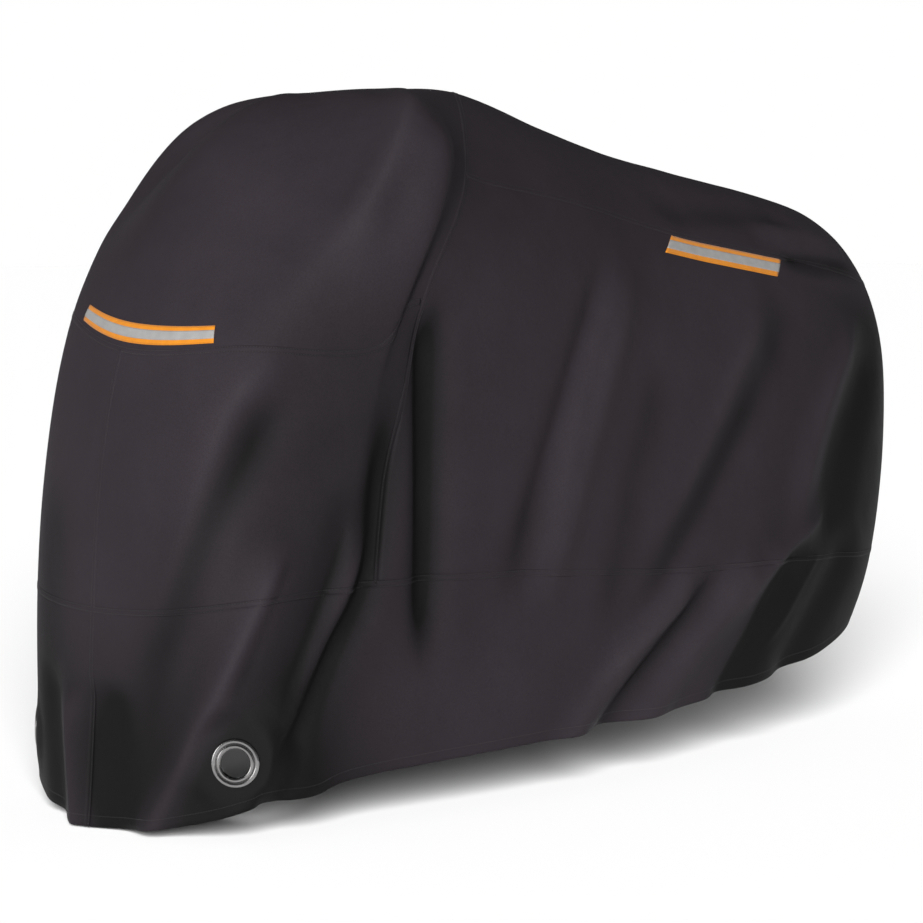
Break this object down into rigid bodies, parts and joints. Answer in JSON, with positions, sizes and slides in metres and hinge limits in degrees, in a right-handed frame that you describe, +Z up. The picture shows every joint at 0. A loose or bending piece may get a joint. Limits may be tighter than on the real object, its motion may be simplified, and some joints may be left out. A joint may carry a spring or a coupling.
{
  "type": "motorcycle cover",
  "caption": "Fitted black cloth cover draped in the shape of the motorcycle it hides, hollow and open below, with reflective tapes and steel lock eyelets near the front hem.",
  "frame": {"origin": "under the top of the cover, on its centre plane, where the handlebars and tank of the machine carry it", "axes": "+Z up, X along the machine with the front of the cover at -X, the left side at -Y"},
  "size_m": [2.0756, 0.8221, 1.3117],
  "materials": {
    "black_cloth": "coated polyester weave, matt, very dark warm grey",
    "orange_tape": "fluorescent orange woven tape",
    "silver_tape": "silver-grey reflective coating on tape",
    "steel": "polished plated steel"
  },
  "bodies": {
    "root": {"hood": "black_cloth", "top_panel": "black_cloth", "front_left": "black_cloth", "front_right": "black_cloth", "side_left": "black_cloth", "side_right": "black_cloth", "band_left": "black_cloth", "band_right": "black_cloth", "front_tape_orange": "orange_tape", "front_tape_silver": "silver_tape", "rear_tape_left_orange": "orange_tape", "rear_tape_left_silver": "silver_tape", "rear_tape_right_orange": "orange_tape", "rear_tape_right_silver": "silver_tape", "eyelet_face_left": "steel", "eyelet_washer_left": "steel", "eyelet_face_right": "steel", "eyelet_washer_right": "steel"}
  },
  "joints": []
}
